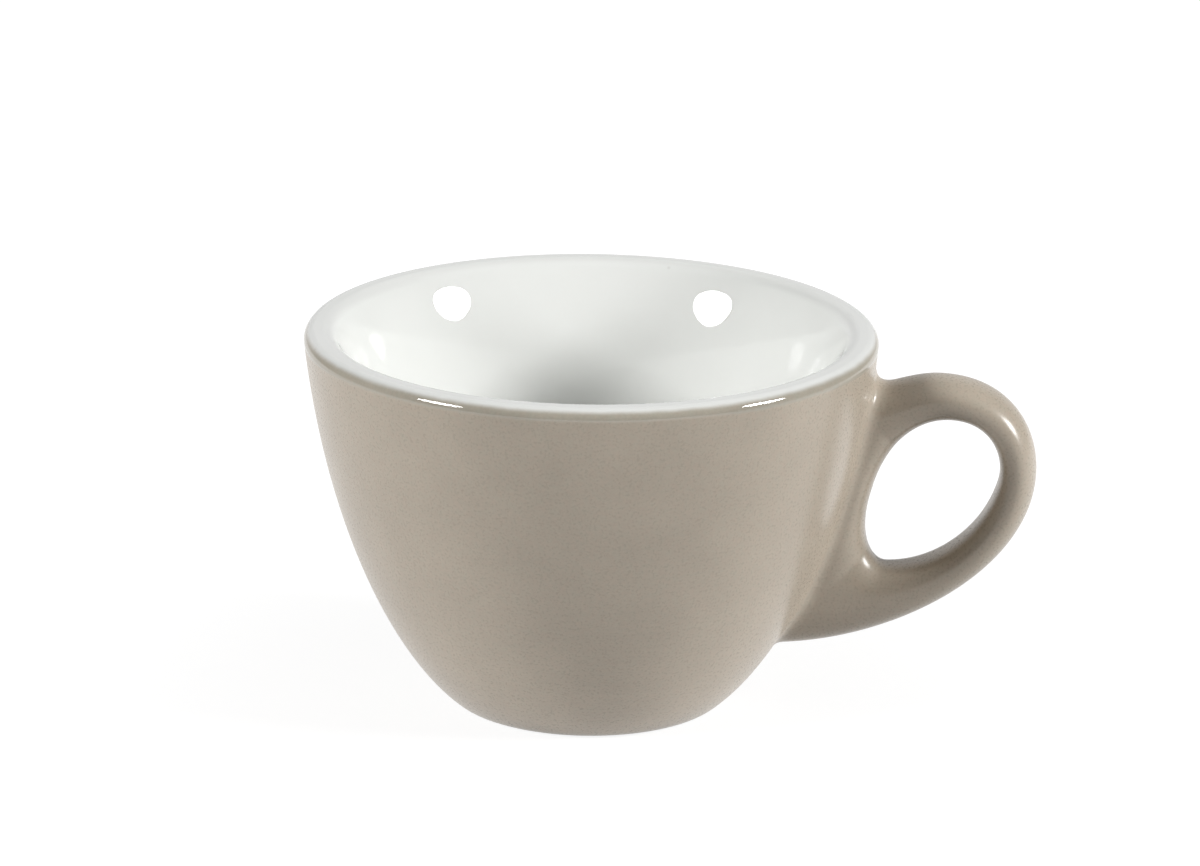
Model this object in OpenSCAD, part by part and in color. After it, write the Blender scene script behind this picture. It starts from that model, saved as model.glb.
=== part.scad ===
// Espresso cup: a thick porcelain bowl with a ring handle stuck on with slip.
// It is glazed white inside and over the lip, and taupe outside and on the handle.
// Millimetres, +Z up, the handle along +X, the origin on the bowl's axis at the table.

/* [Bowl] */
// Outside diameter at the lip
rim_d = 71.5; // [66:0.5:78]
// Height from the table to the top of the lip
bowl_h = 48; // [45:0.5:54]
// Diameter of the corner where the wall meets the table
foot_d = 34; // [30:0.5:38]
// Lean of the wall at the foot, in degrees from upright
foot_lean = 54; // [48:1:60]
// Length over which the wall keeps its lean at the foot
foot_pull = 7.5; // [6:0.5:10]
// Lean of the wall at the lip, in degrees from upright
lip_lean = 6.5; // [4:0.1:9]
// Length over which the wall keeps its lean at the lip
lip_pull = 27; // [22:0.5:30]

/* [Inside] */
// Width of the lip, from its outer side to the inmost point of its inner round
lip_t = 4.4; // [3.8:0.1:6]
// Radius of the lip's outer edge
lip_out_r = 1.4; // [1:0.1:1.8]
// Radius of the lip's inner edge
lip_in_r = 2.2; // [1.8:0.1:3]
// Thickness of the floor over the recess
floor_t = 6.5; // [5:0.5:8]
// Distance from the middle over which the floor stays level
floor_pull = 29; // [25:0.5:30]
// Lean of the inner wall at the lip, in degrees from upright
inner_lean = 32; // [26:1:36]
// Length over which the inner wall keeps its lean at the lip
inner_pull = 14.5; // [10:0.5:16]

/* [Foot] */
// Width of the ring that the bowl stands on
ring_w = 3; // [2:0.5:5]
// Bevel outside the standing ring
ring_bevel = 0.6; // [0.4:0.1:1]
// Depth of the recess inside the standing ring
recess_h = 1.5; // [1:0.1:2.5]

/* [Glaze] */
// Thickness of each glaze coat
glaze_t = 0.3; // [0.2:0.05:0.5]
// Distance below the top of the lip where the white coat meets the taupe one
colour_line = 0.4; // [0.3:0.1:0.8]
// Height of the bare porcelain left above the table
bare_h = 0.3; // [0.2:0.1:1.2]

/* [Finger hole] */
// Width of the finger hole
hole_w = 16.4; // [14:0.1:20]
// Height of the finger hole
hole_h = 19.2; // [16:0.1:21]
// Height of the hole's lowest point above the table
hole_low = 18.8; // [17:0.1:21]
// Distance that the hole's top lies further out than its lowest point
hole_lean = 7.3; // [5:0.1:9]
// Height of the hole's inmost point above its lowest one
hole_in_rise = 5; // [4:0.1:7]
// Height of the hole's outmost point above its lowest one
hole_out_rise = 12.7; // [10:0.1:14]
// Distance that the hole's lowest point lies further out than its inmost one
hole_corner = 2.8; // [2:0.1:5]

/* [Handle] */
// Thickness of the handle between the wall and the hole's inmost point
web_t = 3.8; // [3:0.1:6]
// Thickness of the handle over the hole
bar_t = 5.5; // [4:0.1:7]
// Thickness of the handle outside the hole
grip_t = 4.6; // [3.5:0.1:7]
// Width of the handle from side to side
handle_w = 8.5; // [6:0.1:12]
// Distance that the handle's highest point lies inside the hole's top
crest_in = 1.7; // [0:0.1:4]
// Height at which the handle's upper edge leaves the wall, below its highest point
root_drop = 1.9; // [0.5:0.1:3]
// Height above the table at which the handle's lower edge leaves the wall
root_low = 7.6; // [5:0.1:11]

/* [Slip joint] */
// Thickness of the slip between the bowl and the handle
slip_t = 0.25; // [0.2:0.05:0.6]
// Distance that the slip stands out round the glazed handle
slip_bead = 0.5; // [0.3:0.1:1.5]

/* [Hidden] */

// Smoothness of the turned shapes and of the curves in their outlines
$fn = 120;
wall_steps = 28;
lip_steps = 8;

// Stations round the handle, points round its section, and points on each stretch of its edges
ring_steps = 64;
section_steps = 20;
edge_steps = 16;
// Depth inside the wall to which the handle's edges are drawn before the seat is cut
root_sink = 2;

rim_r = rim_d / 2;
floor_z = recess_h + floor_t;
ring_out_r = foot_d / 2 - ring_bevel;
ring_in_r = ring_out_r - ring_w;

// The lip is two arcs, which share its thickness
lip_round_in = min(lip_in_r, lip_t - lip_out_r);
lip_out_mid = [rim_r - lip_out_r, bowl_h - lip_out_r];
lip_in_mid = [rim_r - lip_t + lip_round_in, bowl_h - lip_round_in];
lip_line_angle = asin((lip_out_r - colour_line) / lip_out_r);

// Direction along a wall that leans outwards, and the same turned to face out of it
function along(lean) = [sin(lean), cos(lean)];
function outward(lean) = [cos(lean), -sin(lean)];
function unit(v) = v / norm(v);
function reverse(list) = [for (i = [len(list) - 1:-1:0]) list[i]];

// Points and directions on a curve with two end points and two pulls
function cubic(c, t) =
    pow(1 - t, 3) * c[0] + 3 * pow(1 - t, 2) * t * c[1] + 3 * (1 - t) * t * t * c[2] + pow(t, 3) * c[3];
function cubic_way(c, t) =
    unit(pow(1 - t, 2) * (c[1] - c[0]) + 2 * (1 - t) * t * (c[2] - c[1]) + t * t * (c[3] - c[2]));

// Finished outer wall, from the table to the lip
wall_low = [foot_d / 2, 0];
wall_high = lip_out_mid + lip_out_r * outward(lip_lean);
wall_curve = [
    wall_low,
    wall_low + foot_pull * along(foot_lean),
    wall_high - lip_pull * along(lip_lean),
    wall_high
];

// Finished inner wall, from the middle of the floor to the lip
inner_high = lip_in_mid - lip_round_in * outward(inner_lean);
inner_curve = [
    [0, floor_z],
    [floor_pull, floor_z],
    inner_high - inner_pull * along(inner_lean),
    inner_high
];

// Outer wall raised above the bare porcelain: 0 is the porcelain and glaze_t the finished wall
function wall_point(t, lift) =
    let (way = cubic_way(wall_curve, t))
    cubic(wall_curve, t) + (lift - glaze_t) * [way.y, -way.x];
function wall_line(lift, start = 0) =
    [for (i = [0:wall_steps]) wall_point(start + (1 - start) * i / wall_steps, lift)];

// Inner wall raised above the bare porcelain, from the lip to the middle of the floor
function inner_point(t, lift) =
    let (way = cubic_way(inner_curve, t))
    cubic(inner_curve, t) - (lift - glaze_t) * [way.y, -way.x];
function inner_line(lift) = [for (i = [wall_steps:-1:0]) inner_point(i / wall_steps, lift)];

function arc(mid, r, a, b) =
    [for (i = [0:lip_steps]) let (turn = a + (b - a) * i / lip_steps) mid + r * [cos(turn), sin(turn)]];
function lip_out_line(lift, a, b) = arc(lip_out_mid, lip_out_r + lift - glaze_t, a, b);
function lip_in_line(lift) = arc(lip_in_mid, lip_round_in + lift - glaze_t, 90, 180 - inner_lean);

// Place on the finished wall at a height
wall_table = [for (i = [0:wall_steps]) let (t = i / wall_steps) [wall_point(t, glaze_t).y, t]];
function wall_place(z) = lookup(z, wall_table);
function wall_r(z) = wall_point(wall_place(z), glaze_t).x;

// Finger hole, in the handle's own plane: distance from the axis, and height
hole_in = [wall_r(hole_low + hole_in_rise) + web_t, hole_low + hole_in_rise];
hole_bottom = [hole_in.x + hole_corner, hole_low];
hole_out = [hole_in.x + hole_w, hole_low + hole_out_rise];
hole_top = [hole_bottom.x + hole_lean, hole_low + hole_h];
hole_mid = [hole_in.x + hole_w / 2, hole_low + hole_h / 2];

// Outer edge of the handle, from its upper root to its lower one
crest = [hole_top.x - crest_in, hole_top.y + bar_t];
grip = [hole_out.x + grip_t, hole_out.y];
root_high = crest.y - root_drop;
upper_root = [wall_r(root_high) - root_sink, root_high];
lower_root = [wall_r(root_low) - root_sink, root_low];

// A curve that leaves and arrives with shares of the way between its ends
function bend(a, b, leave, arrive) =
    let (way = b - a)
    [a, a + [leave.x * way.x, leave.y * way.y], b - [arrive.x * way.x, arrive.y * way.y], b];
hole_bends = [
    bend(hole_top, hole_in, [0.61, 0], [0, 0.46]),
    bend(hole_in, hole_bottom, [0, 0.54], [0.56, 0]),
    bend(hole_bottom, hole_out, [0.55, 0], [0, 0.41]),
    bend(hole_out, hole_top, [0, 0.51], [0.67, 0])
];
edge_bends = [
    bend(upper_root, crest, [0.3, 0], [0.34, 0]),
    bend(crest, grip, [0.67, 0], [0, 0.51]),
    bend(grip, lower_root, [0, 0.56], [0.45, 0])
];

// Points along bends, moved sideways out of the handle by grow
function bend_points(bends, grow) = [
    for (c = bends, i = [0:edge_steps])
        let (t = i / edge_steps, way = cubic_way(c, t))
        cubic(c, t) + grow * [-way.y, way.x]
];

// Distance from the middle of the hole to a closed line, along one direction
function cast(line, angle) =
    let (ray = [cos(angle), sin(angle)])
    max([
        for (i = [0:len(line) - 1])
            let (
                a = line[i] - hole_mid,
                b = line[(i + 1) % len(line)] - hole_mid,
                side_a = cross(ray, a),
                side_b = cross(ray, b)
            )
            if (side_a * side_b <= 0 && side_a != side_b)
                (a + (b - a) * side_a / (side_a - side_b)) * ray
    ]);

// Elliptical section between an inner and an outer distance from the middle of the hole
function section(near, far, half_w, angle) = [
    for (k = [0:section_steps - 1])
        let (
            turn = 360 * k / section_steps,
            reach = (near + far) / 2 + (far - near) / 2 * cos(turn)
        )
        [hole_mid.x + reach * cos(angle), half_w * sin(turn), hole_mid.y + reach * sin(angle)]
];

// The handle as a whole ring, before its seat on the wall is cut, up to a height above its bare clay
module ring(lift) {
    grow = lift - glaze_t;
    hole_line = bend_points(hole_bends, grow);
    edge_line = bend_points(edge_bends, grow);
    points = [
        for (i = [0:ring_steps - 1])
            let (angle = 360 * i / ring_steps)
            each section(cast(hole_line, angle), cast(edge_line, angle), handle_w / 2 + grow, angle)
    ];
    faces = [
        for (i = [0:ring_steps - 1], k = [0:section_steps - 1])
            let (
                here = i * section_steps,
                next = (i + 1) % ring_steps * section_steps,
                up = (k + 1) % section_steps
            )
            each [[here + k, next + k, here + up], [here + up, next + k, next + up]]
    ];
    polyhedron(points, faces);
}

// Everything inside the outer wall, up to a height above the bare porcelain
module inside_wall(lift) {
    rotate_extrude()
        polygon(concat([[0, 0]], wall_line(lift), [[0, bowl_h]]));
}

module bowl() {
    body = concat(
        [
            [0, recess_h + glaze_t],
            [ring_in_r - recess_h - glaze_t, recess_h + glaze_t],
            [ring_in_r, 0],
            [ring_out_r, 0]
        ],
        wall_line(0),
        lip_out_line(0, -lip_lean, 90),
        lip_in_line(0),
        inner_line(0)
    );
    color([0.93, 0.91, 0.87])
        rotate_extrude()
            polygon(body);
}

module handle() {
    color([0.92, 0.9, 0.86])
        difference() {
            ring(0);
            inside_wall(slip_t);
        }
}

module slip_joint() {
    color([0.88, 0.86, 0.81])
        intersection() {
            ring(glaze_t + slip_bead);
            rotate_extrude()
                polygon(concat(wall_line(slip_t), reverse(wall_line(0))));
        }
}

module liner_glaze() {
    coat = concat(
        reverse(inner_line(glaze_t)),
        reverse(lip_in_line(glaze_t)),
        lip_out_line(glaze_t, 90, lip_line_angle),
        lip_out_line(0, lip_line_angle, 90),
        lip_in_line(0),
        inner_line(0)
    );
    color([0.93, 0.94, 0.92])
        rotate_extrude()
            polygon(coat);
}

module outer_glaze() {
    start = wall_place(bare_h);
    coat = concat(
        wall_line(glaze_t, start),
        lip_out_line(glaze_t, -lip_lean, lip_line_angle),
        lip_out_line(0, lip_line_angle, -lip_lean),
        reverse(wall_line(0, start))
    );
    color([0.58, 0.54, 0.49])
        difference() {
            rotate_extrude()
                polygon(coat);
            ring(glaze_t + slip_bead);
        }
}

module handle_glaze() {
    color([0.56, 0.52, 0.47])
        difference() {
            difference() {
                ring(glaze_t);
                inside_wall(slip_t);
            }
            ring(0);
        }
}

module base_glaze() {
    color([0.55, 0.51, 0.46])
        rotate_extrude()
            polygon([
                [0, recess_h],
                [ring_in_r - recess_h, recess_h],
                [ring_in_r - recess_h - glaze_t, recess_h + glaze_t],
                [0, recess_h + glaze_t]
            ]);
}

bowl();
handle();
slip_joint();
liner_glaze();
outer_glaze();
handle_glaze();
base_glaze();
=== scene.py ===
"""Espresso cup: the finished glaze coats, bare foot and smooth handle, with studio light and camera."""
import math
from bisect import bisect_left

import bmesh
import bpy
from mathutils import Matrix, Vector
from mathutils.geometry import interpolate_bezier


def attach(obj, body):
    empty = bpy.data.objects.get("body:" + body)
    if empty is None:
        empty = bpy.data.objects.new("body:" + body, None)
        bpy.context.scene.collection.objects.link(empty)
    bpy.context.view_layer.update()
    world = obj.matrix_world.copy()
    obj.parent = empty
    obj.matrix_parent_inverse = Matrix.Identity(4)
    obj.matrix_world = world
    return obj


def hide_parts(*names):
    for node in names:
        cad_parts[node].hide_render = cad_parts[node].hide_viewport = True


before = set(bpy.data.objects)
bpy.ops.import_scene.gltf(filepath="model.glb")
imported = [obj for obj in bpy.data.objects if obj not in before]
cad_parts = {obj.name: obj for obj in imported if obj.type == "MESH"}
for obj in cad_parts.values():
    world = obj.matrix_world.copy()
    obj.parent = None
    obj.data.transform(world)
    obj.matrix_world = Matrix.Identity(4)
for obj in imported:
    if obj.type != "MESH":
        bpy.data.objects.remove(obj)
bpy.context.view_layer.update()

MM = 0.001

# Sizes of the bowl, in millimetres and degrees, as in the part's source
RIM_R = 35.75
BOWL_H = 48.0
FOOT_R = 17.0
FOOT_LEAN = 54.0
FOOT_PULL = 7.5
LIP_LEAN = 6.5
LIP_PULL = 27.0
LIP_T = 4.4
LIP_OUT_R = 1.4
LIP_IN_R = 2.2
FLOOR_T = 6.5
FLOOR_PULL = 29.0
INNER_LEAN = 32.0
INNER_PULL = 14.5
RING_W = 3.0
RING_BEVEL = 0.6
RECESS_H = 1.5
GLAZE_T = 0.3
COLOUR_LINE = 0.4
BARE_H = 0.3

# Sizes of the finger hole and the handle
HOLE_W = 16.4
HOLE_H = 19.2
HOLE_LOW = 18.8
HOLE_LEAN = 7.3
HOLE_IN_RISE = 5.0
HOLE_OUT_RISE = 12.7
HOLE_CORNER = 2.8
WEB_T = 3.8
BAR_T = 5.5
GRIP_T = 4.6
HANDLE_W = 8.5
CREST_IN = 1.7
ROOT_DROP = 1.9
ROOT_LOW = 7.6
ROOT_SINK = 2.0
# Width of the polished-off edges of the foot ring, and the steps in them
FOOT_SOFT = 0.15
FOOT_SOFT_STEPS = 3
# Radius of the smoothed fillet round the handle's root, the least turn that it takes up, the rows in it,
# and how its edge lies on the wall
ROOT_ROUND = 2.0
LEAST_TURN = 0.02
FILLET_LEVELS = (1, 0.75, 0.52, 0.33, 0.18, 0.07, 0)
SKIRT_PROUD = 0.008
SKIRT_SINK = 0.3
# How square the handle's section is on the side of the hole, where 2 is a plain oval, and how far the hole's
# top and bottom are eased for it, so that the hole looks as high as with the oval
INNER_SQUARE = 2.8
HOLE_EASE = 0.2

# Smoothness of the turned pieces and of the handle
TURN_STEPS = 256
CURVE_STEPS = 72
ARC_STEPS = 24
RING_STEPS = 320
SECTION_STEPS = 72
SHARP_ANGLE = math.radians(40)
MERGE = 1e-4


def along(lean):
    """Direction up a wall that leans outwards."""
    turn = math.radians(lean)
    return Vector((math.sin(turn), math.cos(turn)))


def outward(lean):
    """Direction square to such a wall, out of the bowl."""
    turn = math.radians(lean)
    return Vector((math.cos(turn), -math.sin(turn)))


def curve(points, steps=CURVE_STEPS):
    """Points along a curve with two ends and two pulls, in a plane."""
    return [Vector(p) for p in interpolate_bezier(*[Vector(p) for p in points], steps)]


def arc(mid, radius, start, end, steps=ARC_STEPS):
    """Points along an arc, with its angles in degrees."""
    turns = [math.radians(start + (end - start) * i / steps) for i in range(steps + 1)]
    return [mid + radius * Vector((math.cos(t), math.sin(t))) for t in turns]


def raised(line, height):
    """The points of a line moved to its right-hand side."""
    moved = []
    for i, point in enumerate(line):
        way = (line[min(i + 1, len(line) - 1)] - line[max(i - 1, 0)]).normalized()
        moved.append(point + height * Vector((way.y, -way.x)))
    return moved


# Outlines of the finished wall and of the finished inside, as (radius, height)
lip_out_mid = Vector((RIM_R - LIP_OUT_R, BOWL_H - LIP_OUT_R))
lip_in_mid = Vector((RIM_R - LIP_T + LIP_IN_R, BOWL_H - LIP_IN_R))
line_angle = math.degrees(math.asin((LIP_OUT_R - COLOUR_LINE) / LIP_OUT_R))
wall_low = Vector((FOOT_R, 0))
wall_high = lip_out_mid + LIP_OUT_R * outward(LIP_LEAN)
wall = curve((
    wall_low,
    wall_low + FOOT_PULL * along(FOOT_LEAN),
    wall_high - LIP_PULL * along(LIP_LEAN),
    wall_high,
))
floor_z = RECESS_H + FLOOR_T
inner_high = lip_in_mid - LIP_IN_R * outward(INNER_LEAN)
inner = curve(((0, floor_z), (FLOOR_PULL, floor_z), inner_high - INNER_PULL * along(INNER_LEAN), inner_high))
wall_heights = [point.y for point in wall]


def wall_at(height):
    """Radius of the finished wall at a height, and its lean there in radians."""
    i = min(max(bisect_left(wall_heights, height), 1), len(wall) - 1)
    low, high = wall[i - 1], wall[i]
    share = (height - low.y) / (high.y - low.y)
    return low.x + share * (high.x - low.x), math.atan2(high.x - low.x, high.y - low.y)


def keep(bm, name, material, slot, *nodes):
    """Makes the mesh a piece of the cup that stands for CAD nodes."""
    bmesh.ops.scale(bm, vec=(MM, MM, MM), verts=bm.verts)
    bmesh.ops.recalc_face_normals(bm, faces=bm.faces)
    for edge in bm.edges:
        edge.smooth = edge.calc_face_angle(0) < SHARP_ANGLE
    for face in bm.faces:
        face.smooth = True
    mesh = bpy.data.meshes.new(name)
    bm.to_mesh(mesh)
    bm.free()
    mesh.materials.append(material)
    piece = bpy.data.objects.new(name, mesh)
    bpy.context.scene.collection.objects.link(piece)
    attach(piece, "root")
    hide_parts(*nodes)


def turned(outline, closed):
    """A mesh of an outline turned about the bowl's axis; an open outline starts and ends on the axis."""
    bm = bmesh.new()
    verts = [bm.verts.new((point[0], 0, point[1])) for point in outline]
    edges = [bm.edges.new(pair) for pair in zip(verts, verts[1:])]
    if closed:
        edges.append(bm.edges.new((verts[-1], verts[0])))
    bmesh.ops.spin(
        bm, geom=verts + edges, cent=(0, 0, 0), axis=(0, 0, 1), angle=math.tau,
        steps=TURN_STEPS, use_merge=True,
    )
    bmesh.ops.remove_doubles(bm, verts=bm.verts, dist=MERGE)
    return bm


# Camera: a long lens at the photographed angle, with the handle turned a little towards it
PHOTO_LENS = 150.0
SENSOR_W = 36.0
CAMERA_AIM = (1.215, 0, 34.183)
CAMERA_DISTANCE = 625.92
CAMERA_RISE = 17.245
CAMERA_ROLL = 0.742
HANDLE_TURN = 5.0

camera_data = bpy.data.cameras.new("camera")
camera_data.lens = PHOTO_LENS
camera_data.sensor_width = SENSOR_W
camera_data.sensor_fit = "HORIZONTAL"
camera = bpy.data.objects.new("camera", camera_data)
bpy.context.scene.collection.objects.link(camera)
camera.matrix_world = (
    Matrix.Rotation(math.radians(HANDLE_TURN), 4, "Z")
    @ Matrix.Translation(Vector(CAMERA_AIM) * MM)
    @ Matrix.Rotation(math.radians(90 - CAMERA_RISE), 4, "X")
    @ Matrix.Rotation(math.radians(CAMERA_ROLL), 4, "Z")
    @ Matrix.Translation((0, 0, CAMERA_DISTANCE * MM))
)
bpy.context.scene.camera = camera


def put(tree, kind, wires=None, **settings):
    """Adds a node, and fills its sockets with values or with other nodes' outputs."""
    made = tree.nodes.new(kind)
    for name, value in settings.items():
        setattr(made, name, value)
    for socket, value in (wires or {}).items():
        if isinstance(value, bpy.types.NodeSocket):
            tree.links.new(value, made.inputs[socket])
        else:
            made.inputs[socket].default_value = value
    return made


def maths(tree, operation, a, b=0.0):
    return put(tree, "ShaderNodeMath", {0: a, 1: b}, operation=operation).outputs[0]


def spread(tree, value, start, end, low=0.0, high=1.0, way="LINEAR"):
    """A ramp from low at start to high at end, held at both."""
    wires = {"Value": value, "From Min": start, "From Max": end, "To Min": low, "To Max": high}
    return put(tree, "ShaderNodeMapRange", wires, interpolation_type=way).outputs["Result"]


def ease(tree, value, start, end, low=0.0, high=1.0):
    """A smooth step from low at start to high at end."""
    return spread(tree, value, start, end, low, high, "SMOOTHSTEP")


def mixed(tree, share, a, b, blend="MIX"):
    """Two colours mixed by a share."""
    return put(tree, "ShaderNodeMix", {0: share, 6: a, 7: b}, data_type="RGBA", blend_type=blend).outputs[2]


def between(tree, share, a, b):
    """Two values mixed by a share."""
    return put(tree, "ShaderNodeMix", {0: share, 2: a, 3: b}).outputs[0]


def per_metre(size):
    """How many times a size in millimetres goes into a metre."""
    return 1 / (size * MM)


def noise(tree, place, scale, detail=2.0, roughness=0.5):
    """Cloudy values round 0.5, with a number of blotches to the metre."""
    wires = {"Vector": place, "Scale": scale, "Detail": detail, "Roughness": roughness}
    return put(tree, "ShaderNodeTexNoise", wires).outputs[0]


def new_material(name):
    material = bpy.data.materials.new(name)
    material.use_nodes = True
    material.node_tree.nodes.clear()
    return material, material.node_tree


def dress(material, tree, wires):
    """Ends a material with its shader."""
    shader = put(tree, "ShaderNodeBsdfPrincipled", wires)
    put(tree, "ShaderNodeOutputMaterial", {"Surface": shader.outputs[0]})
    return material


def new_group(name, takes, gives):
    """A shader node group with named inputs and outputs."""
    group = bpy.data.node_groups.new(name, "ShaderNodeTree")
    for label, kind in takes.items():
        group.interface.new_socket(label, in_out="INPUT", socket_type=kind)
    for label, kind in gives.items():
        group.interface.new_socket(label, in_out="OUTPUT", socket_type=kind)
    return group, group.nodes.new("NodeGroupInput").outputs


def give(group, wires):
    """Joins results to a group's outputs."""
    put(group, "NodeGroupOutput", wires)


def use(tree, group, **wires):
    """Places a node group and hands back its outputs."""
    return put(tree, "ShaderNodeGroup", wires, node_tree=group).outputs


VECTOR = "NodeSocketVector"
FLOAT = "NodeSocketFloat"
COLOUR = "NodeSocketColor"

# Fired colours
WHITE_LOW = (0.775, 0.785, 0.76)
WHITE_HIGH = (0.8, 0.808, 0.785)
PINHOLE = (0.42, 0.4, 0.37)
TAUPE_LOW = (0.44, 0.382, 0.308)
TAUPE_HIGH = (0.496, 0.431, 0.35)
PINK_CAST = (1.015, 0.992, 0.99)
GREEN_CAST = (0.985, 1.008, 1.01)
DARK_SPECK = (0.2, 0.165, 0.13)
LIGHT_SPECK = (0.6, 0.56, 0.5)
THIN_EDGE = (0.66, 0.63, 0.57)
OLIVE_CAST = (0.87, 0.918, 0.938)
CLAY_LOW = (0.72, 0.69, 0.63)
CLAY_HIGH = (0.84, 0.81, 0.75)
SLIP_LOW = (0.68, 0.65, 0.59)
SLIP_HIGH = (0.8, 0.77, 0.71)

# Grain sizes in millimetres, and the other patterns' fineness as shares of the grain's
WHITE_GRAIN = 0.8
TAUPE_GRAIN = 0.32
CLAY_GRAIN = 0.25
HUE_SIZE = 0.7
CLOUD_SHARE = 0.05
RIPPLE_SHARE = 0.45
RIPPLE_ROUGH = 0.55
SPECK_SHARE = 0.22
# Ranges of cloudy values that are stretched to a full range
NARROW = (0.3, 0.7)
WIDE = (0.25, 0.75)
# Which cells get a speck, how its edge fades, how deep specks are, and how far the pale ones are moved
SPECK_LOTS = (0.95, 0.97)
SPECK_EDGE = (0.11, 0.05)
SPECK_DEPTH = 0.2
PINHOLE_DEPTH = 0.25
CLAY_SPECK_DEPTH = 0.4
SPECK_SHIFT = (0.013, 0.007, 0.003)
# Turning marks: their stretch, step and fineness, the heights between which they fade, and what is left
RING_STRETCH = (0.012, 0.012, 1.0)
RING_STEP = 0.5
MARKS_DETAIL = 3.0
MARKS_ROUGH = 0.65
MARKS_HIGH = 24.0
MARKS_LOW = 8.0
MARKS_LEAST = 0.3
# How much the marks and the clouds shade the taupe coat, and the marks and the mottle lift it
RING_SHADE = 0.12
CLOUD_SHADES = (0.97, 1.03)
RING_HEIGHT = 1.2
MOTTLE_HEIGHT = 0.15
# Roughness of the coats and the clay, and the strength and depth in millimetres of their relief
WHITE_ROUGH = (0.01, 0.02)
TAUPE_ROUGH = (0.265, 0.295)
CLAY_ROUGH = 0.62
SLIP_ROUGH = 0.7
CLAY_ROUGH_SPAN = 0.08
GLAZE_BUMP = 0.14
GLAZE_BUMP_DEPTH = 0.006
CLAY_BUMP = 0.5
CLAY_BUMP_DEPTH = 0.03
# Thin lowest edge of the taupe coat: the heights where it starts and is full, and its share
THIN_TOP = 0.85
THIN_FULL = 0.4
THIN_SHARE = 0.55
# The lip's change of colour, as angles round it, and the wavering of that line
FADE_START = math.radians(64)
FADE_END = math.radians(29)
WAVER = 0.035
WAVER_SIZE = 2.0
OUTSIDE_SOFT = 0.1
# The glossy band under the lip, in millimetres, with its tilt as a slope, and the share of its pale edge
BAND_LOW = 46.2
BAND_SAG = 0.12
SAG_SIZE = 22.0
BAND_TILT = 0.012
BAND_SOFT = 0.15
EDGE_WIDTH = 0.3
EDGE_LAP = 0.05
EDGE_SHARE = 0.15


def fired_grain():
    """Fine mottle, broad clouds, stray specks and ripple of a fired surface, at a grain size."""
    takes = {"Place": VECTOR, "Grain": FLOAT}
    gives = {"Mottle": FLOAT, "Cloud": FLOAT, "Specks": FLOAT, "Ripple": FLOAT}
    group, given = new_group("fired_grain", takes, gives)
    place, grain = given["Place"], given["Grain"]
    mottle = noise(group, place, grain)
    cloud = noise(group, place, maths(group, "MULTIPLY", grain, CLOUD_SHARE))
    ripple_scale = maths(group, "MULTIPLY", grain, RIPPLE_SHARE)
    ripple = noise(group, place, ripple_scale, roughness=RIPPLE_ROUGH)
    wires = {"Vector": place, "Scale": maths(group, "MULTIPLY", grain, SPECK_SHARE)}
    cells = put(group, "ShaderNodeTexVoronoi", wires).outputs
    lot = put(group, "ShaderNodeSeparateColor", {0: cells["Color"]}).outputs[0]
    dot = ease(group, cells["Distance"], *SPECK_EDGE)
    specks = maths(group, "MULTIPLY", dot, ease(group, lot, *SPECK_LOTS))
    give(group, {"Mottle": mottle, "Cloud": cloud, "Specks": specks, "Ripple": ripple})
    return group


def turning_marks():
    """Faint level rings that the turning tool leaves, weaker up the wall."""
    group, given = new_group("turning_marks", {"Place": VECTOR}, {"Marks": FLOAT})
    wires = {"Vector": given["Place"], "Scale": RING_STRETCH}
    flat = put(group, "ShaderNodeMapping", wires).outputs[0]
    rings = noise(group, flat, per_metre(RING_STEP), MARKS_DETAIL, MARKS_ROUGH)
    height = put(group, "ShaderNodeSeparateXYZ", {0: given["Place"]}).outputs["Z"]
    low = ease(group, height, MARKS_HIGH * MM, MARKS_LOW * MM, MARKS_LEAST, 1.0)
    give(group, {"Marks": maths(group, "MULTIPLY", maths(group, "SUBTRACT", rings, 0.5), low)})
    return group


def lip_fade():
    """Where the taupe coat starts: its share, its glossy band, that band's edge, and the lip's outside."""
    gives = {"Taupe": FLOAT, "Band": FLOAT, "Edge": FLOAT, "Outside": FLOAT}
    group, given = new_group("lip_fade", {"Place": VECTOR}, gives)
    place = given["Place"]
    parts = put(group, "ShaderNodeSeparateXYZ", {0: place}).outputs
    flat = put(group, "ShaderNodeCombineXYZ", {0: parts[0], 1: parts[1]}).outputs[0]
    radius = put(group, "ShaderNodeVectorMath", {0: flat}, operation="LENGTH").outputs["Value"]
    out = maths(group, "SUBTRACT", radius, lip_out_mid.x * MM)
    up = maths(group, "SUBTRACT", parts[2], lip_out_mid.y * MM)
    waver = spread(group, noise(group, place, per_metre(WAVER_SIZE)), *WIDE, -WAVER, WAVER)
    angle = maths(group, "ADD", maths(group, "ARCTAN2", up, out), waver)
    taupe_share = ease(group, angle, FADE_START, FADE_END)
    sag = noise(group, place, per_metre(SAG_SIZE), 1.0)
    sag = spread(group, sag, *NARROW, -BAND_SAG * MM, BAND_SAG * MM)
    wires = {0: place, 1: (0, BAND_TILT, 1)}
    height = put(group, "ShaderNodeVectorMath", wires, operation="DOT_PRODUCT").outputs["Value"]
    height = maths(group, "ADD", maths(group, "ADD", height, sag), maths(group, "MULTIPLY", waver, MM))
    band = ease(group, height, (BAND_LOW - BAND_SOFT) * MM, (BAND_LOW + BAND_SOFT) * MM)
    rise = ease(group, height, (BAND_LOW - EDGE_WIDTH) * MM, BAND_LOW * MM)
    fall = ease(group, height, (BAND_LOW + EDGE_LAP) * MM, (BAND_LOW + EDGE_WIDTH) * MM)
    edge = maths(group, "SUBTRACT", rise, fall)
    outside = ease(group, out, 0, OUTSIDE_SOFT * MM)
    give(group, {"Taupe": taupe_share, "Band": band, "Edge": edge, "Outside": outside})
    return group


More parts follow.
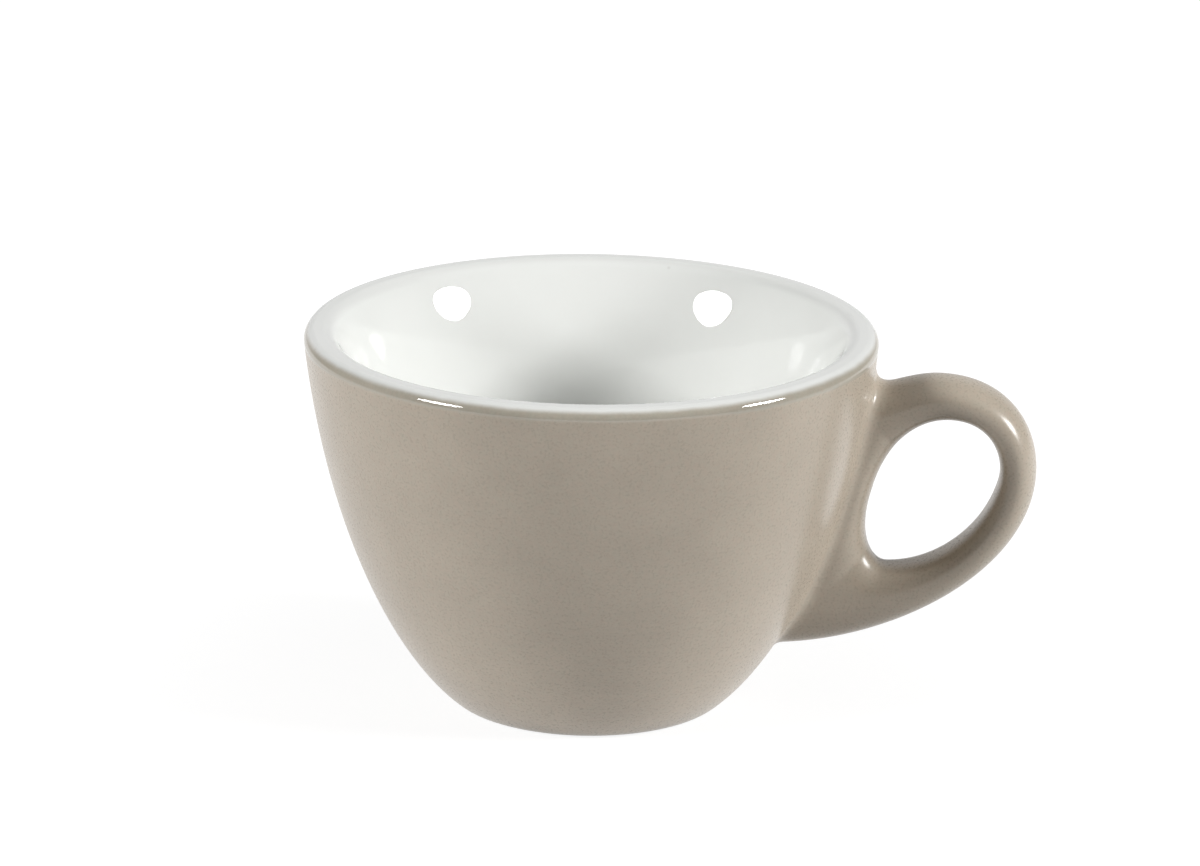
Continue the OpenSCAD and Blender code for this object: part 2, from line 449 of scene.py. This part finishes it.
def white_coat(grain):
    """Glossy white glaze, hardly clouded, with a stray pinhole."""
    gives = {"Colour": COLOUR, "Rough": FLOAT, "Height": FLOAT}
    group, given = new_group("white_coat", {"Place": VECTOR}, gives)
    looks = use(group, grain, Place=given["Place"], Grain=per_metre(WHITE_GRAIN))
    cloud = spread(group, looks["Cloud"], *NARROW)
    colour = mixed(group, cloud, (*WHITE_LOW, 1), (*WHITE_HIGH, 1))
    pinhole = maths(group, "MULTIPLY", looks["Specks"], PINHOLE_DEPTH)
    colour = mixed(group, pinhole, colour, (*PINHOLE, 1))
    rough = spread(group, looks["Mottle"], *NARROW, *WHITE_ROUGH)
    give(group, {"Colour": colour, "Rough": rough, "Height": looks["Ripple"]})
    return group


def taupe_coat(grain, marks):
    """Satin taupe glaze: finely mottled, faintly ringed, thin and pale at its lowest edge."""
    gives = {"Colour": COLOUR, "Rough": FLOAT, "Height": FLOAT}
    group, given = new_group("taupe_coat", {"Place": VECTOR}, gives)
    place = given["Place"]
    looks = use(group, grain, Place=place, Grain=per_metre(TAUPE_GRAIN))
    rings = use(group, marks, Place=place)["Marks"]
    mottle = spread(group, looks["Mottle"], *WIDE)
    colour = mixed(group, mottle, (*TAUPE_LOW, 1), (*TAUPE_HIGH, 1))
    hue = spread(group, noise(group, place, per_metre(HUE_SIZE)), *NARROW)
    cast = mixed(group, hue, (*PINK_CAST, 1), (*GREEN_CAST, 1))
    colour = mixed(group, 1.0, colour, cast, "MULTIPLY")
    clouds = spread(group, looks["Cloud"], *NARROW, *CLOUD_SHADES)
    shade = maths(group, "ADD", clouds, maths(group, "MULTIPLY", rings, RING_SHADE))
    colour = mixed(group, 1.0, colour, shade, "MULTIPLY")
    dark = maths(group, "MULTIPLY", looks["Specks"], SPECK_DEPTH)
    colour = mixed(group, dark, colour, (*DARK_SPECK, 1))
    moved = put(group, "ShaderNodeVectorMath", {0: place, 1: SPECK_SHIFT}).outputs[0]
    others = use(group, grain, Place=moved, Grain=per_metre(TAUPE_GRAIN))
    light = maths(group, "MULTIPLY", others["Specks"], SPECK_DEPTH)
    colour = mixed(group, light, colour, (*LIGHT_SPECK, 1))
    height = put(group, "ShaderNodeSeparateXYZ", {0: place}).outputs["Z"]
    thin = ease(group, height, THIN_TOP * MM, THIN_FULL * MM, 0.0, THIN_SHARE)
    colour = mixed(group, thin, colour, (*THIN_EDGE, 1))
    rough = spread(group, looks["Mottle"], *WIDE, *TAUPE_ROUGH)
    bump = maths(group, "ADD", looks["Ripple"], maths(group, "MULTIPLY", rings, RING_HEIGHT))
    bump = maths(group, "ADD", bump, maths(group, "MULTIPLY", looks["Mottle"], MOTTLE_HEIGHT))
    give(group, {"Colour": colour, "Rough": rough, "Height": bump})
    return group


grain_group = fired_grain()
marks_group = turning_marks()
fade_group = lip_fade()
white_group = white_coat(grain_group)
taupe_group = taupe_coat(grain_group, marks_group)


def glaze_material(name, inside):
    """A glaze coat, with the soft change of colour at the lip that both coats share."""
    material, tree = new_material(name)
    place = put(tree, "ShaderNodeTexCoord").outputs["Object"]
    fade = use(tree, fade_group, Place=place)
    white_looks = use(tree, white_group, Place=place)
    taupe_looks = use(tree, taupe_group, Place=place)
    share = maths(tree, "MULTIPLY", fade["Taupe"], fade["Outside"]) if inside else fade["Taupe"]
    olive = mixed(tree, 1.0, taupe_looks["Colour"], (*OLIVE_CAST, 1), "MULTIPLY")
    lower = mixed(tree, fade["Band"], taupe_looks["Colour"], olive)
    lower = mixed(tree, maths(tree, "MULTIPLY", fade["Edge"], EDGE_SHARE), lower, (*THIN_EDGE, 1))
    colour = mixed(tree, share, white_looks["Colour"], lower)
    dull = maths(tree, "MULTIPLY", share, maths(tree, "SUBTRACT", 1.0, fade["Band"]))
    rough = between(tree, dull, white_looks["Rough"], taupe_looks["Rough"])
    relief = between(tree, dull, white_looks["Height"], taupe_looks["Height"])
    wires = {"Height": relief, "Strength": GLAZE_BUMP, "Distance": GLAZE_BUMP_DEPTH * MM}
    bump = put(tree, "ShaderNodeBump", wires).outputs[0]
    return dress(material, tree, {"Base Color": colour, "Roughness": rough, "Normal": bump})


def clay_material(name, low, high, roughness):
    """Bare fired clay: matt, finely grained, with turning marks."""
    material, tree = new_material(name)
    place = put(tree, "ShaderNodeTexCoord").outputs["Object"]
    looks = use(tree, grain_group, Place=place, Grain=per_metre(CLAY_GRAIN))
    rings = use(tree, marks_group, Place=place)["Marks"]
    colour = mixed(tree, spread(tree, looks["Mottle"], *WIDE), (*low, 1), (*high, 1))
    dark = maths(tree, "MULTIPLY", looks["Specks"], CLAY_SPECK_DEPTH)
    colour = mixed(tree, dark, colour, (*DARK_SPECK, 1))
    smooth, coarse = roughness - CLAY_ROUGH_SPAN, roughness + CLAY_ROUGH_SPAN
    rough = spread(tree, looks["Mottle"], *WIDE, smooth, coarse)
    relief = maths(tree, "ADD", looks["Mottle"], rings)
    wires = {"Height": relief, "Strength": CLAY_BUMP, "Distance": CLAY_BUMP_DEPTH * MM}
    bump = put(tree, "ShaderNodeBump", wires).outputs[0]
    return dress(material, tree, {"Base Color": colour, "Roughness": rough, "Normal": bump})


taupe = glaze_material("taupe_glaze", False)
white = glaze_material("white_glaze", True)
porcelain = clay_material("porcelain", CLAY_LOW, CLAY_HIGH, CLAY_ROUGH)
slip = clay_material("slip", SLIP_LOW, SLIP_HIGH, SLIP_ROUGH)

# The turned pieces
bare_wall = raised(wall, -GLAZE_T)
bare_inner = raised(inner, GLAZE_T)
ring_out_r = FOOT_R - RING_BEVEL
ring_in_r = ring_out_r - RING_W
body_line = (
    [Vector((0, RECESS_H + GLAZE_T)), Vector((ring_in_r - RECESS_H - GLAZE_T, RECESS_H + GLAZE_T))]
    + [Vector((ring_in_r, 0)), Vector((ring_out_r, 0))]
    + bare_wall
    + arc(lip_out_mid, LIP_OUT_R - GLAZE_T, -LIP_LEAN, 90)
    + arc(lip_in_mid, LIP_IN_R - GLAZE_T, 90, 180 - INNER_LEAN)
    + bare_inner[::-1]
)
body_line[-1].x = 0
body = turned(body_line, False)
ring_edges = [
    edge for edge in body.edges
    if all(vert.co.z < FOOT_SOFT for vert in edge.verts) and edge.calc_face_angle(0) > SHARP_ANGLE / 2
]
bmesh.ops.bevel(
    body, geom=ring_edges, offset=FOOT_SOFT, segments=FOOT_SOFT_STEPS, profile=0.5,
    affect="EDGES", material=-1,
)
keep(body, "bare_bowl", porcelain, "porcelain", "bowl")

liner_line = (
    inner
    + arc(lip_in_mid, LIP_IN_R, 180 - INNER_LEAN, 90)
    + arc(lip_out_mid, LIP_OUT_R, 90, line_angle)
    + arc(lip_out_mid, LIP_OUT_R - GLAZE_T, line_angle, 90)
    + arc(lip_in_mid, LIP_IN_R - GLAZE_T, 90, 180 - INNER_LEAN)
    + bare_inner[::-1]
)
liner_line[-1].x = 0
keep(turned(liner_line, False), "white_liner", white, "white_glaze", "liner_glaze")

coat_low = Vector((wall_at(BARE_H)[0], BARE_H))
low_lean = math.degrees(wall_at(BARE_H)[1])
first = bisect_left(wall_heights, BARE_H) + 1
coat_line = (
    wall[first:]
    + arc(lip_out_mid, LIP_OUT_R, -LIP_LEAN, line_angle)
    + arc(lip_out_mid, LIP_OUT_R - GLAZE_T, line_angle, -LIP_LEAN)
    + bare_wall[first:][::-1]
    + arc(coat_low - GLAZE_T / 2 * outward(low_lean), GLAZE_T / 2, 180 - low_lean, 360 - low_lean)
)
keep(turned(coat_line, True), "taupe_wall", taupe, "taupe_glaze", "outer_glaze")

base_line = [
    Vector((0, RECESS_H)),
    Vector((ring_in_r - RECESS_H, RECESS_H)),
    Vector((ring_in_r - RECESS_H - GLAZE_T, RECESS_H + GLAZE_T)),
    Vector((0, RECESS_H + GLAZE_T)),
]
keep(turned(base_line, False), "taupe_base", taupe, "taupe_glaze", "base_glaze")

# The handle's two edges, in its own plane: distance from the axis, and height
hole_in = Vector((wall_at(HOLE_LOW + HOLE_IN_RISE)[0] + WEB_T, HOLE_LOW + HOLE_IN_RISE))
hole_bottom = Vector((hole_in.x + HOLE_CORNER, HOLE_LOW))
hole_out = Vector((hole_in.x + HOLE_W, HOLE_LOW + HOLE_OUT_RISE))
hole_top = Vector((hole_bottom.x + HOLE_LEAN, HOLE_LOW + HOLE_H))
hole_mid = Vector((hole_in.x + HOLE_W / 2, HOLE_LOW + HOLE_H / 2))
crest = Vector((hole_top.x - CREST_IN, hole_top.y + BAR_T))
grip = Vector((hole_out.x + GRIP_T, hole_out.y))
root_high = crest.y - ROOT_DROP
upper_root = Vector((wall_at(root_high)[0] - ROOT_SINK, root_high))
lower_root = Vector((wall_at(ROOT_LOW)[0] - ROOT_SINK, ROOT_LOW))


def bend(a, b, leave, arrive):
    """A curve that leaves and arrives with shares of the way between its ends."""
    way = b - a
    return curve((a, a + Vector(leave) * way, b - Vector(arrive) * way, b))


# Each bend's pulls are shares of the way between its ends, as in the part's source
hole_line = (
    bend(hole_top, hole_in, (0.61, 0), (0, 0.46))
    + bend(hole_in, hole_bottom, (0, 0.54), (0.56, 0))
    + bend(hole_bottom, hole_out, (0.55, 0), (0, 0.41))
    + bend(hole_out, hole_top, (0, 0.51), (0.67, 0))
)
edge_line = (
    bend(upper_root, crest, (0.3, 0), (0.34, 0))
    + bend(crest, grip, (0.67, 0), (0, 0.51))
    + bend(grip, lower_root, (0, 0.56), (0.45, 0))
)


def cast(line, ray):
    """Distance from the middle of the hole to a closed line, along one direction."""
    reach = 0
    for i, point in enumerate(line):
        a, b = line[i - 1] - hole_mid, point - hole_mid
        side_a, side_b = ray.cross(a), ray.cross(b)
        if side_a * side_b <= 0 and side_a != side_b:
            reach = max(reach, (a + (b - a) * side_a / (side_a - side_b)).dot(ray))
    return reach


def foothold(point, normal):
    """A handle point's height over the wall, the way out of the wall, and its share of the root's fillet."""
    radius, lean = wall_at(point.z)
    spread_r = math.hypot(point.x, point.y)
    away = (spread_r - radius) * math.cos(lean)
    out = Vector((
        math.cos(lean) * point.x / spread_r,
        math.cos(lean) * point.y / spread_r,
        -math.sin(lean),
    ))
    return away, out, away / (ROOT_ROUND * max(1 - normal.dot(out), LEAST_TURN))


def filleted(point, normal):
    """Place of a handle point in the fillet, which leaves the wall and joins the handle smoothly."""
    _, out, share = foothold(point, normal)
    if share >= 1:
        return point
    facing = normal.dot(out)
    side = (normal - facing * out).normalized()
    rise = (out - facing * normal).normalized()
    length = ROOT_ROUND * math.sqrt((1 - facing) / (1 + facing))
    moved = point + length * ((1 - share) ** 2 * side + (share ** 2 - share) * rise)
    away, out, _ = foothold(moved, normal)
    height = share ** 2 * length * math.sqrt(1 - facing ** 2)
    return moved + (height + SKIRT_PROUD * (1 - share) - away) * out


def cut_level(bm, shares, level):
    """Cuts the faces along the line where the fillet share has a level."""
    made = []
    for edge in bm.edges[:]:
        a, b = edge.verts
        if (shares[a][0] - level) * (shares[b][0] - level) < 0:
            part = (level - shares[a][0]) / (shares[b][0] - shares[a][0])
            normal = shares[a][1].lerp(shares[b][1], part).normalized()
            vert = bmesh.utils.edge_split(edge, a, part)[1]
            shares[vert] = (level, normal)
            made.append(vert)
    bmesh.ops.connect_verts(bm, verts=made)


# The handle starts as a plain ring of unit section, which is then shaped between the two edges
TORUS_R = 3.0
bm = bmesh.new()
bmesh.ops.create_circle(bm, segments=SECTION_STEPS, radius=1, matrix=Matrix.Translation((TORUS_R, 0, 0)))
bmesh.ops.spin(
    bm, geom=bm.verts[:] + bm.edges[:], cent=(0, 0, 0), axis=(0, 1, 0), angle=math.tau,
    steps=RING_STEPS, use_merge=True,
)
reaches = {}
for vert in bm.verts:
    turn = math.atan2(vert.co.z, vert.co.x)
    ray = Vector((math.cos(turn), math.sin(turn)))
    key = round(turn, 5)
    if key not in reaches:
        reaches[key] = cast(hole_line, ray), cast(edge_line, ray)
    near, far = reaches[key]
    near += HOLE_EASE * abs(ray.y)
    depth, width = math.hypot(vert.co.x, vert.co.z) - TORUS_R, vert.co.y
    square = INNER_SQUARE if depth < 0 else 2
    swell = (abs(depth) ** square + abs(width) ** square) ** (-1 / square)
    reach = (near + far) / 2 + (far - near) / 2 * depth * swell
    vert.co = (hole_mid.x + reach * ray.x, HANDLE_W / 2 * width * swell, hole_mid.y + reach * ray.y)
bmesh.ops.recalc_face_normals(bm, faces=bm.faces)
bm.normal_update()
shares = {vert: (foothold(vert.co, vert.normal)[2], vert.normal.copy()) for vert in bm.verts}
for level in FILLET_LEVELS:
    cut_level(bm, shares, level)
buried = [vert for vert in bm.verts if shares[vert][0] < 0]
bmesh.ops.delete(bm, geom=buried, context="VERTS")
places = {vert: filleted(vert.co, shares[vert][1]) for vert in bm.verts}
for vert, place in places.items():
    vert.co = place
rim = [edge for edge in bm.edges if edge.is_boundary]
sunk = bmesh.ops.extrude_edge_only(bm, edges=rim)["geom"]
for vert in sunk:
    if isinstance(vert, bmesh.types.BMVert):
        vert.co -= SKIRT_SINK * foothold(vert.co, vert.normal)[1]
bmesh.ops.triangle_fill(bm, edges=[e for e in bm.edges if e.is_boundary], normal=(1, 0, 0), use_beauty=True)
keep(bm, "taupe_handle", taupe, "taupe_glaze", "handle_glaze")

for name, finish in (("handle", porcelain), ("slip_joint", slip)):
    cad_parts[name].data.materials.clear()
    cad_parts[name].data.materials.append(finish)

# The floor and the world: sizes in millimetres, tones that light the cup, and what the camera is shown
FLOOR_R = 900
FLOOR_STEPS = 96
FLOOR_DROP = 0.02
FLOOR_NEAR = 25
FLOOR_FAR = 90
# The floor's tone near the cup is paler than further out: a painted pool of light that throws more light
# back on the foot
FLOOR_PAINTED_POOL = 0.62
FLOOR_TONE_FAR = 0.3
FLOOR_TONE_SHOWN = 0.22
FLOOR_LIFT_NEAR = 0.85
FLOOR_LIFT_FAR = 0.92
FLOOR_GRAIN = 4.0
FLOOR_GRAIN_SHADES = (0.99, 1.01)
ROOM_GLOW = 0.03
BACKDROP_GLOW = 0.8
BACKDROP_SHOWN = 1.0
BACKDROP_RISE = 12.0
OVERHEAD_GLOW = 0.3
GLOW_EDGE = (0.6, 0.95)

# The two softboxes: distance and size in millimetres, turn from the camera and rise in degrees, and watts
LAMP_DISTANCE = 2000
LAMP_W = 690
LAMP_H = 560
LAMP_RISE = 23.5
LAMPS = (("right_softbox", 74.6, 41), ("left_softbox", -63.4, 33))


def seen_rays(tree):
    """One for the rays that show the background: from the camera, off gloss and through glass."""
    sight = put(tree, "ShaderNodeLightPath").outputs
    shown = maths(tree, "MAXIMUM", sight["Is Camera Ray"], sight["Is Glossy Ray"])
    return maths(tree, "MAXIMUM", shown, sight["Is Transmission Ray"])


def floor_material():
    """A pale matt floor, painted paler round the cup as a painted pool of light on the foot, that keeps the
    cup's shadow and goes over into plain white further out.
    """
    material, tree = new_material("floor")
    place = put(tree, "ShaderNodeTexCoord").outputs["Object"]
    reach = put(tree, "ShaderNodeVectorMath", {0: place}, operation="LENGTH").outputs["Value"]
    far = ease(tree, reach, FLOOR_NEAR * MM, FLOOR_FAR * MM)
    shown = seen_rays(tree)
    # Painted pool of light: paler floor tone near the cup, for the light that the floor throws on the foot
    tone = spread(tree, far, 0, 1, FLOOR_PAINTED_POOL, FLOOR_TONE_FAR)
    tone = spread(tree, shown, 0, 1, tone, FLOOR_TONE_SHOWN)
    grain = spread(tree, noise(tree, place, per_metre(FLOOR_GRAIN)), *NARROW, *FLOOR_GRAIN_SHADES)
    wires = {"Color": maths(tree, "MULTIPLY", tone, grain)}
    matt = put(tree, "ShaderNodeBsdfDiffuse", wires).outputs[0]
    glow = spread(tree, far, 0, 1, FLOOR_LIFT_NEAR, FLOOR_LIFT_FAR)
    lift = put(tree, "ShaderNodeEmission", {"Strength": maths(tree, "MULTIPLY", shown, glow)}).outputs[0]
    look = put(tree, "ShaderNodeAddShader", {0: matt, 1: lift})
    put(tree, "ShaderNodeOutputMaterial", {"Surface": look.outputs[0]})
    return material


floor_mesh = bpy.data.meshes.new("floor")
bm = bmesh.new()
below = Matrix.Translation((0, 0, -FLOOR_DROP * MM))
bmesh.ops.create_circle(bm, cap_ends=True, segments=FLOOR_STEPS, radius=FLOOR_R * MM, matrix=below)
bm.to_mesh(floor_mesh)
bm.free()
floor = bpy.data.objects.new("floor", floor_mesh)
bpy.context.scene.collection.objects.link(floor)
floor_mesh.materials.append(floor_material())


def glow_round(tree, bearing, way, glow):
    """The dim room's glow, rising to another round one direction."""
    wires = {0: bearing, 1: way}
    facing = put(tree, "ShaderNodeVectorMath", wires, operation="DOT_PRODUCT").outputs["Value"]
    return ease(tree, facing, *GLOW_EDGE, ROOM_GLOW, glow)


def light_world():
    """A dim room with a bright backdrop and a soft glow overhead; what the camera sees of it is apart."""
    world = bpy.data.worlds.new("studio")
    bpy.context.scene.world = world
    world.use_nodes = True
    tree = world.node_tree
    tree.nodes.clear()
    bearing = put(tree, "ShaderNodeTexCoord").outputs["Generated"]
    behind = Matrix.Rotation(math.radians(HANDLE_TURN), 3, "Z") @ Vector((0, 1, 0))
    rise = math.radians(BACKDROP_RISE)
    raised_behind = math.cos(rise) * behind + math.sin(rise) * Vector((0, 0, 1))
    backdrop = glow_round(tree, bearing, behind, BACKDROP_GLOW)
    shown_glow = glow_round(tree, bearing, raised_behind, BACKDROP_SHOWN)
    upward = put(tree, "ShaderNodeSeparateXYZ", {0: bearing}).outputs["Z"]
    overhead = ease(tree, upward, *GLOW_EDGE, 0.0, OVERHEAD_GLOW)
    glow = between(tree, seen_rays(tree), maths(tree, "ADD", backdrop, overhead), shown_glow)
    background = put(tree, "ShaderNodeBackground", {"Strength": glow})
    put(tree, "ShaderNodeOutputWorld", {"Surface": background.outputs[0]})


def softbox(name, turn, energy):
    """A softbox that faces the lip, at an angle to the right of the camera."""
    data = bpy.data.lights.new(name, "AREA")
    data.shape = "ELLIPSE"
    data.size = LAMP_W * MM
    data.size_y = LAMP_H * MM
    data.energy = energy
    made = bpy.data.objects.new(name, data)
    made.matrix_world = (
        Matrix.Translation((0, 0, BOWL_H * MM))
        @ Matrix.Rotation(math.radians(HANDLE_TURN + turn), 4, "Z")
        @ Matrix.Rotation(math.radians(90 - LAMP_RISE), 4, "X")
        @ Matrix.Translation((0, 0, LAMP_DISTANCE * MM))
    )
    made.visible_camera = False
    bpy.context.scene.collection.objects.link(made)


light_world()
for lamp in LAMPS:
    softbox(*lamp)

bpy.context.scene.view_settings.view_transform = "Standard"
